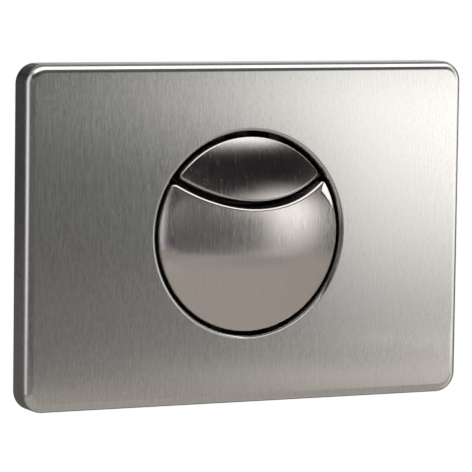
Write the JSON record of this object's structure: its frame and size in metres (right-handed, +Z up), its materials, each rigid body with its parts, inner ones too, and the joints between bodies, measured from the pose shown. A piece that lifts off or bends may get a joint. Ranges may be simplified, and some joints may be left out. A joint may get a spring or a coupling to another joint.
{
  "type": "flush button plate",
  "caption": "Brushed stainless dual-flush wall plate: a rounded pan with a domed round button, split by a curve into half and full flush parts that tilt inwards and push rods behind the wall.",
  "frame": {"origin": "centre of the cover's rear rim, in the wall plane", "axes": "+X to the right, +Z up, +Y into the wall; the buttons face -Y"},
  "size_m": [0.235, 0.0965, 0.167],
  "materials": {
    "cover_steel": "fine vertical brushing",
    "cap_steel": "fine vertical brushing on a dome",
    "black_plastic": "glossy black moulding",
    "body_plastic": "black moulding",
    "bright_steel": "plain turned steel",
    "spring_steel": "drawn spring steel",
    "white_plastic": "natural moulding",
    "grey_plastic": "grey moulding",
    "rubber": "soft end cap"
  },
  "bodies": {
    "plate": {"cover_plate": "cover_steel", "carrier_frame": "black_plastic", "small_hinge_pin": "bright_steel", "full_hinge_pin": "bright_steel", "hinge_pin_clips": "spring_steel", "small_spring_left": "spring_steel", "small_spring_right": "spring_steel", "full_spring_left": "spring_steel", "full_spring_right": "spring_steel", "cover_studs": "bright_steel", "cover_nuts": "bright_steel", "mounting_frame": "grey_plastic", "retaining_clips": "spring_steel", "fixing_rod_left": "bright_steel", "fixing_rod_right": "bright_steel", "fixing_washers": "bright_steel", "fixing_nut_left": "white_plastic", "fixing_nut_right": "white_plastic"},
    "small_button": {"small_button_cap": "cap_steel", "small_button_body": "body_plastic"},
    "full_button": {"full_button_cap": "cap_steel", "full_button_body": "body_plastic"},
    "small_rod": {"small_rod_plunger": "white_plastic", "small_rod_spindle": "white_plastic", "small_rod_locknut": "grey_plastic", "small_rod_tip": "rubber"},
    "full_rod": {"full_rod_plunger": "white_plastic", "full_rod_spindle": "white_plastic", "full_rod_locknut": "grey_plastic", "full_rod_tip": "rubber"}
  },
  "joints": [
    {"name": "small_button_tilt", "type": "hinge", "parent": "plate", "child": "small_button", "pos_m": [0, -0.008, 0.058], "axis": [1, 0, 0], "range_deg": [0, 5.5], "stiffness_Nm_per_rad": 1.2, "springref_deg": -6.88, "deforming": ["small_spring_left", "small_spring_right"]},
    {"name": "full_button_tilt", "type": "hinge", "parent": "plate", "child": "full_button", "pos_m": [0, -0.008, -0.058], "axis": [-1, 0, 0], "range_deg": [0, 4.5], "stiffness_Nm_per_rad": 3, "springref_deg": -5.73, "deforming": ["full_spring_left", "full_spring_right"]},
    {"name": "small_rod_slide", "type": "slide", "parent": "plate", "child": "small_rod", "axis": [0, 1, 0], "range_m": [0, 0.0033]},
    {"name": "full_rod_slide", "type": "slide", "parent": "plate", "child": "full_rod", "axis": [0, 1, 0], "range_m": [0, 0.004]}
  ],
  "couplings": [
    {"joint": "small_rod_slide", "follows": "small_button_tilt", "m_per_rad": 0.034},
    {"joint": "full_rod_slide", "follows": "full_button_tilt", "m_per_rad": 0.05}
  ]
}
